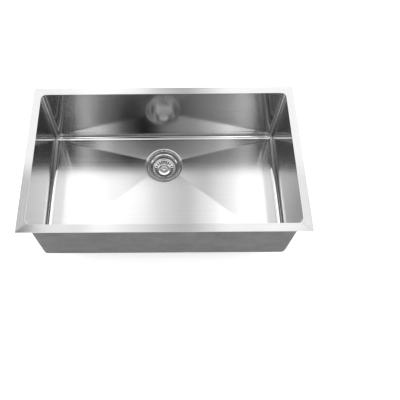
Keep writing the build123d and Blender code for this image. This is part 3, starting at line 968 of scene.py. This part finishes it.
bush = turned_piece(
    "guide_bush_moulded",
    (BUSH_BORE, BUSH_BOTTOM, BUSH_EXIT_ROUND), (BUSH_RADIUS, BUSH_BOTTOM, BUSH_FOOT_ROUND),
    (BUSH_RADIUS, CROWN_TOP), (BUSH_FLANGE, CROWN_TOP), (BUSH_FLANGE, BUSH_TOP, BUSH_FLANGE_ROUND),
    (BUSH_BORE, BUSH_TOP, BUSH_MOUTH_ROUND), (BUSH_BORE, BUSH_GROOVE_TOP),
    (BUSH_GROOVE_RADIUS, BUSH_GROOVE_TOP), (BUSH_GROOVE_RADIUS, BUSH_GROOVE_BOTTOM),
    (BUSH_BORE, BUSH_GROOVE_BOTTOM))
dress(bush, moulded_plastic("pale_bush_plastic"), "basket", "bush_plastic", "guide_bush")
clip = flat_ring("bush_clip_flat", CLIP)
dress(clip, basket_steel, "basket", "polished_steel", "bush_clip")
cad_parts["grip_ring"].material_slots[0].material = seal_rubber


# Knob and stem: a low mushroom knob of polished steel on a turned stem that slides in the bush. The
# stem's collar stops it at the top, and its stud carries the stopper.
KNOB_WAIST, KNOB_RADIUS = 4.5, 6.3
KNOB_BOTTOM, KNOB_UNDERCUT, KNOB_SHOULDER = -24.6, -21.7, -20.8
KNOB_CROWN, KNOB_TOP = -19.3, -18.1
KNOB_ROUND, KNOB_UNDERCUT_ROUND, KNOB_EDGE = 1.2, 0.4, 0.3
STEM_RADIUS, STEM_TOP, STEM_END = 3.0, -20.1, -58.2
COLLAR_RADIUS, COLLAR_BOTTOM, COLLAR_TOP = 5.2, -47.7, -46.2
COLLAR_FOOT_ROUND, COLLAR_TOP_ROUND, COLLAR_NECK_ROUND = 0.3, 0.4, 0.2
STUD_RADIUS, STUD_ROUND = 2.5, 0.5

knob_steel = spun_steel("polished_knob_steel", (0.62, 0.70), (0.09, 0.16), 0.04)
knob = turned_piece(
    "knob_turned",
    (STEM_RADIUS, KNOB_BOTTOM), (KNOB_WAIST, KNOB_BOTTOM, KNOB_EDGE),
    (KNOB_WAIST, KNOB_UNDERCUT, KNOB_UNDERCUT_ROUND), (KNOB_RADIUS, KNOB_SHOULDER, KNOB_EDGE),
    (KNOB_RADIUS, KNOB_CROWN, KNOB_ROUND), (0.0, KNOB_TOP), (0.0, STEM_TOP), (STEM_RADIUS, STEM_TOP))
dress(knob, knob_steel, "stopper", "polished_steel", "knob")
stem = turned_piece(
    "stem_turned",
    (0.0, STEM_END), (STUD_RADIUS, STEM_END, STUD_ROUND), (STUD_RADIUS, COLLAR_BOTTOM),
    (COLLAR_RADIUS, COLLAR_BOTTOM, COLLAR_FOOT_ROUND), (COLLAR_RADIUS, COLLAR_TOP, COLLAR_TOP_ROUND),
    (STEM_RADIUS, COLLAR_TOP, COLLAR_NECK_ROUND), (STEM_RADIUS, STEM_TOP), (0.0, STEM_TOP))
dress(stem, knob_steel, "stopper", "polished_steel", "stem")


# Stopper: a rubber disc that shuts the outlet, stiffened by a steel plate above it and clamped on the
# stem's stud by a washer and a hexagon nut below it.
STOPPER_HOLE, STOPPER_RADIUS, STOPPER_ROUND = 2.65, 24.0, 0.9
STOPPER_BOTTOM, STOPPER_TOP = -51.7, -48.7
PLATE = FlatRing(inner=STOPPER_HOLE, outer=22.0, bottom=-48.7, top=-47.7, edge=0.3)
CLAMP_WASHER = FlatRing(inner=STOPPER_HOLE, outer=14.0, bottom=-52.7, top=-51.7, edge=0.2)
STEM_NUT_EDGE = 0.35

stopper = turned_piece(
    "stopper_disc", (STOPPER_HOLE, STOPPER_BOTTOM), (STOPPER_RADIUS, STOPPER_BOTTOM, STOPPER_ROUND),
    (STOPPER_RADIUS, STOPPER_TOP, STOPPER_ROUND), (STOPPER_HOLE, STOPPER_TOP))
dress(stopper, seal_rubber, "stopper", "seal", "stopper_seal")
plate_steel = spun_steel("plain_stopper_steel", (0.50, 0.60), (0.20, 0.32), 0.08)
plate = flat_ring("stopper_plate_pressed", PLATE)
dress(plate, plate_steel, "stopper", "polished_steel", "stopper_plate")
clamp = flat_ring("clamp_washer_flat", CLAMP_WASHER)
dress(clamp, plate_steel, "stopper", "polished_steel", "clamp_washer")
stem_nut = softened_copy("stem_nut", "stem_nut_chamfered", STEM_NUT_EDGE)
dress(stem_nut, plate_steel, "stopper", "polished_steel", "stem_nut")


# Studio floor: a wide pale sheet under the sink. It glows for the camera and in mirrors, so that the
# background is white without more light on the sink, and it still takes the sink's shadow.
HALF_FLOOR = 12.0
FLOOR_GREY = 0.85
FLOOR_GLOW = 0.6
scene = bpy.context.scene
scene.view_settings.view_transform = "Standard"
floor_z = cad_box[0].z
floor_mesh = bpy.data.meshes.new("studio_floor")
floor_mesh.from_pydata(
    [(-HALF_FLOOR, -HALF_FLOOR, floor_z), (HALF_FLOOR, -HALF_FLOOR, floor_z),
     (HALF_FLOOR, HALF_FLOOR, floor_z), (-HALF_FLOOR, HALF_FLOOR, floor_z)], [], [(0, 1, 2, 3)])
studio_floor = bpy.data.objects.new("studio_floor", floor_mesh)
scene.collection.objects.link(studio_floor)
floor_finish, tree, shader = new_finish("pale_floor")
path = node(tree, "ShaderNodeLightPath", {})
seen = path.outputs["Is Camera Ray"]
for kind in ("Is Glossy Ray", "Is Transmission Ray"):
    seen = maths(tree, "MAXIMUM", seen, path.outputs[kind])
wire(tree, shader, {
    "Base Color": grey(FLOOR_GREY), "Roughness": 0.9,
    "Emission Strength": seen, "Emission Color": grey(FLOOR_GLOW)})
floor_mesh.materials.append(floor_finish)


# Studio light: rows of soft light that hang round the sink from behind it, over the top, to the front.
# Along a row, each pair is a place across the room, from -1 at the left to 1 at the right, and the
# light's level there. The steel mirrors the rows, so their bright and dark strips draw its bands.
FAR_ROW = (
    (-0.9, 1.8), (-0.4, 1.85), (-0.25, 1.85), (-0.2, 1.95), (-0.13, 2.2), (-0.06, 2.0), (0.0, 1.15),
    (0.04, 0.9), (0.08, 1.45), (0.12, 2.05), (0.2, 1.95), (0.3, 1.95), (0.9, 1.8))
BACK_ROW = (
    (-0.9, 2.0), (-0.7, 2.5), (-0.4, 2.4), (-0.35, 0.5), (-0.3, 0.0), (-0.268, 0.35), (-0.245, 1.55),
    (-0.2, 1.65), (-0.165, 1.4), (-0.15, 1.95), (-0.13, 2.05), (-0.06, 1.52), (0.0, 1.1), (0.04, 0.9),
    (0.08, 1.4), (0.12, 1.95), (0.16, 1.8), (0.2, 1.95), (0.26, 1.85), (0.3, 0.9), (0.34, 1.1),
    (0.39, 2.4), (0.7, 2.5), (0.9, 2.0))
TOP_ROW = (
    (-0.9, 1.2), (-0.62, 1.8), (-0.56, 0.3), (-0.45, 0.3), (-0.4, 1.6), (-0.2, 1.9), (-0.12, 1.95),
    (-0.06, 1.6), (0.0, 1.15), (0.04, 1.0), (0.08, 1.4), (0.12, 1.9), (0.2, 1.95), (0.4, 1.6),
    (0.45, 0.3), (0.56, 0.3), (0.62, 1.8), (0.9, 1.2))
FRONT_ROW = (
    (-0.6, 0.3), (-0.4, 0.3), (-0.24, 0.18), (-0.18, 0.0), (-0.145, 0.05), (-0.136, 0.9), (-0.122, 1.1),
    (-0.1, 0.43), (-0.075, 0.26), (-0.04, 0.0), (0.005, 0.16), (0.05, 0.4), (0.09, 0.57), (0.12, 1.02),
    (0.134, 0.95), (0.144, 0.1), (0.19, 0.0), (0.25, 0.1), (0.42, 0.25), (0.6, 0.3))
LOW_FRONT_ROW = (
    (-0.8, 0.3), (-0.3, 0.2), (-0.19, 0.2), (-0.175, 2.0), (-0.16, 2.7), (-0.14, 2.3), (-0.11, 1.0),
    (-0.08, 0.15), (-0.05, 0.0), (-0.02, 0.1), (0.0, 0.6), (0.05, 0.8), (0.09, 1.5), (0.125, 2.8),
    (0.15, 2.7), (0.165, 2.6), (0.18, 1.0), (0.195, 0.1), (0.8, 0.3))

# Each row takes over from the one behind it between two places, from 1 at the back to -1 at the front
ROWS = (
    (BACK_ROW, 0.47, 0.43),
    (TOP_ROW, 0.25, 0.1),
    (FRONT_ROW, -0.265, -0.385),
    (LOW_FRONT_ROW, -0.62, -0.65))

# Low down, all round the sink, the light is even: it fades to one level between two heights
HORIZON_FROM, HORIZON_TO, HORIZON_LEVEL = 0.6, 0.3, 1.0

world = bpy.data.worlds.new("studio_light")
scene.world = world
world.use_nodes = True
tree = world.node_tree
heading = node(tree, "ShaderNodeTexCoord", {}).outputs["Generated"]
axes = node(tree, "ShaderNodeSeparateXYZ", {0: heading}).outputs


def edge_between(axis, start, end):
    """Share that rises softly from 0 to 1 between two places along an axis."""
    return node(tree, "ShaderNodeMapRange", {
        "Value": axes[axis], "From Min": start, "From Max": end, "To Min": 0.0, "To Max": 1.0},
        interpolation_type="SMOOTHSTEP").outputs[0]


def light_row(levels):
    """Light of one row from left to right."""
    ramp = node(tree, "ShaderNodeValToRGB", {"Fac": spread(tree, axes["X"], 0.0, 1.0, -1.0, 1.0)})
    ramp.color_ramp.interpolation = "EASE"
    stops = ramp.color_ramp.elements
    while len(stops) < len(levels):
        stops.new(0.5)
    for stop, (place, level) in zip(stops, levels):
        stop.position = place / 2 + 0.5
        stop.color = grey(level)
    return ramp.outputs[0]


light = light_row(FAR_ROW)
for row, start, end in ROWS:
    light = shaded(tree, edge_between("Y", start, end), light, light_row(row))
light = shaded(tree, edge_between("Z", HORIZON_FROM, HORIZON_TO), light, grey(HORIZON_LEVEL))
wire(tree, tree.nodes["Background"], {"Color": light, "Strength": 1.0})


# Camera: above and in front of the sink, at the photograph's view. Its axis meets the picture left of
# the middle and above it, as in a photograph that has been cropped.
PICTURE_SIZE = 400.0
VIEW_MIDDLE_X, VIEW_MIDDLE_Y = 163.1, 173.6
FOCAL_PIXELS = 504.0
SENSOR = 36.0
CAMERA_PLACE = Vector((7.0, -726.0, 1284.7)) * MM
YAW, PITCH, ROLL = radians(0.77), radians(62.71), radians(-1.09)
back = Vector((sin(YAW) * cos(PITCH), -cos(YAW) * cos(PITCH), sin(PITCH)))
right = Vector((cos(YAW), sin(YAW), 0.0))
up = back.cross(right)
camera_data = bpy.data.cameras.new("camera")
camera_data.sensor_width = SENSOR
camera_data.lens = SENSOR * FOCAL_PIXELS / PICTURE_SIZE
camera_data.shift_x = (PICTURE_SIZE / 2 - VIEW_MIDDLE_X) / PICTURE_SIZE
camera_data.shift_y = (VIEW_MIDDLE_Y - PICTURE_SIZE / 2) / PICTURE_SIZE
camera = bpy.data.objects.new("camera", camera_data)
scene.collection.objects.link(camera)
camera_axes = Matrix((cos(ROLL) * right + sin(ROLL) * up, cos(ROLL) * up - sin(ROLL) * right, back))
camera.matrix_world = Matrix.Translation(CAMERA_PLACE) @ camera_axes.transposed().to_4x4()
scene.camera = camera
